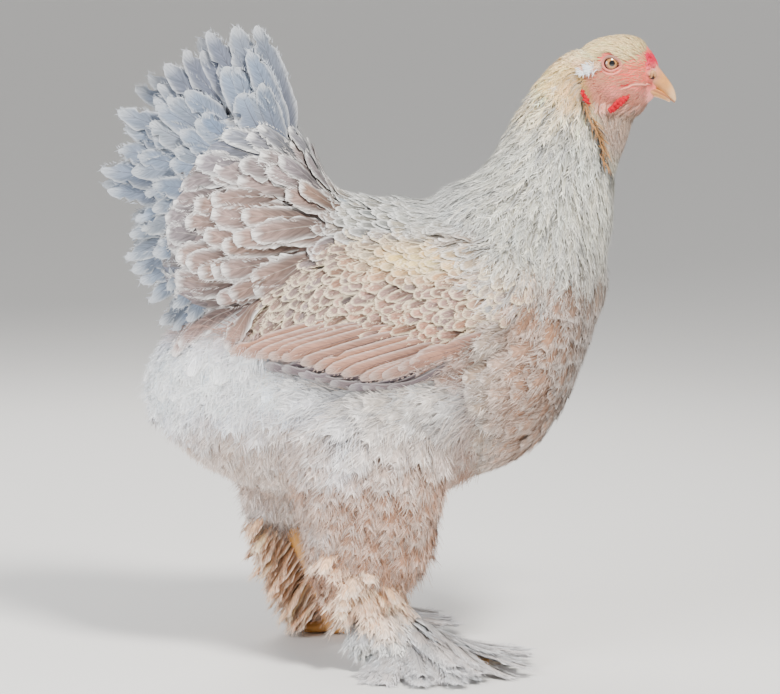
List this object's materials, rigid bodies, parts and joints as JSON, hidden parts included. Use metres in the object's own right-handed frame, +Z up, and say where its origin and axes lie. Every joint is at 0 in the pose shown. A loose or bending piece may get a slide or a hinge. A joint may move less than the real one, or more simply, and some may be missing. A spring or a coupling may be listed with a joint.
{
  "type": "brahma hen",
  "caption": "Life-size brahma hen standing still, cream and lavender-grey feathers, pea comb, raised tail and feathered feet.",
  "frame": {"origin": "middle of the bird's footprint at the floor it stands on", "axes": "+X the way the bird faces, +Y its left side, +Z up"},
  "size_m": [0.4594, 0.2654, 0.4995],
  "materials": {
    "coat": "soft matte feathers",
    "grey_feathers": "satin vanes",
    "face_skin": "matte skin",
    "comb_skin": "soft sheen",
    "horn": "satin horn",
    "scales": "satin scales",
    "eye": "polished"
  },
  "bodies": {
    "root": {"beak_lower": "horn", "beak_upper": "horn", "claw_left_1": "horn", "claw_left_2": "horn", "claw_left_3": "horn", "claw_left_4": "horn", "claw_right_1": "horn", "claw_right_2": "horn", "claw_right_3": "horn", "claw_right_4": "horn", "comb": "comb_skin", "ear_lobe_left": "comb_skin", "ear_lobe_right": "comb_skin", "eye_left": "eye", "eye_right": "eye", "foot_left": "scales", "foot_right": "scales", "head": "face_skin", "neck": "coat", "shank_left": "scales", "shank_right": "scales", "tail": "grey_feathers", "thigh_left": "coat", "thigh_right": "coat", "torso": "coat", "wattle_left": "comb_skin", "wattle_right": "comb_skin", "wing_left": "coat", "wing_right": "coat"}
  },
  "joints": []
}
